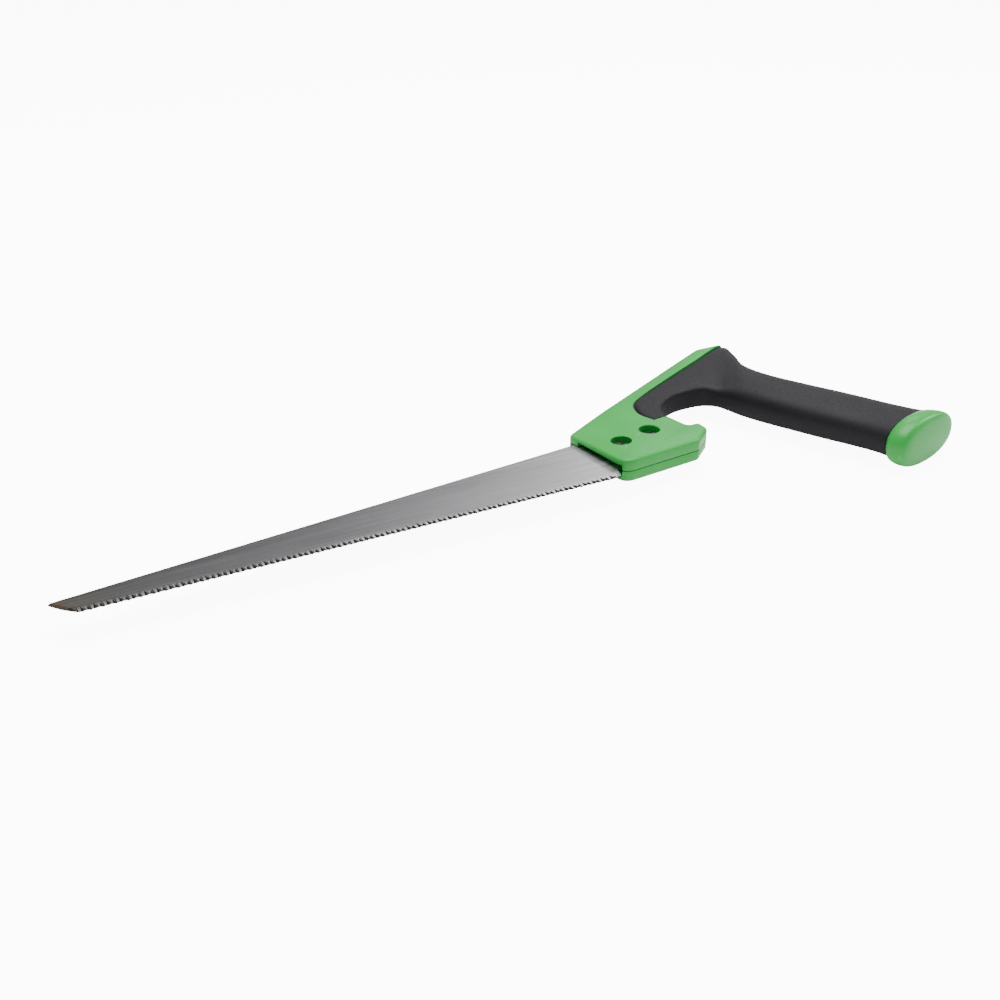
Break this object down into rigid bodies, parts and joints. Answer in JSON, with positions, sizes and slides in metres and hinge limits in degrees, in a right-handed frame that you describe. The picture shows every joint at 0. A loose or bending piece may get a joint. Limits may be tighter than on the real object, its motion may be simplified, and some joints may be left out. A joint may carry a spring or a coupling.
{
  "type": "drywall saw",
  "caption": "Drywall saw with a tapered toothed blade fixed in a pistol-grip handle with a soft grip sleeve and an end cap.",
  "frame": {"origin": "on the surface the saw lies on, under the middle of its bounding box", "axes": "+X along the tooth line from the point to the handle, +Y from the teeth to the spine, +Z out of the saw's left side; the saw lies on its right side"},
  "size_m": [0.5074, 0.1766, 0.0299],
  "materials": {
    "satin_steel": "satin brushed, with dark hardened tooth tips",
    "green_plastic": "satin moulded",
    "black_soft_grip": "matt soft moulded",
    "zinc_plate": "dull zinc plate"
  },
  "bodies": {
    "root": {"blade": "satin_steel", "handle_shell_left": "green_plastic", "handle_shell_right": "green_plastic", "grip_sleeve": "black_soft_grip", "end_cap": "green_plastic", "saw_screw_front": "zinc_plate", "saw_screw_rear": "zinc_plate", "sleeve_nut_front": "zinc_plate", "sleeve_nut_rear": "zinc_plate"}
  },
  "joints": []
}
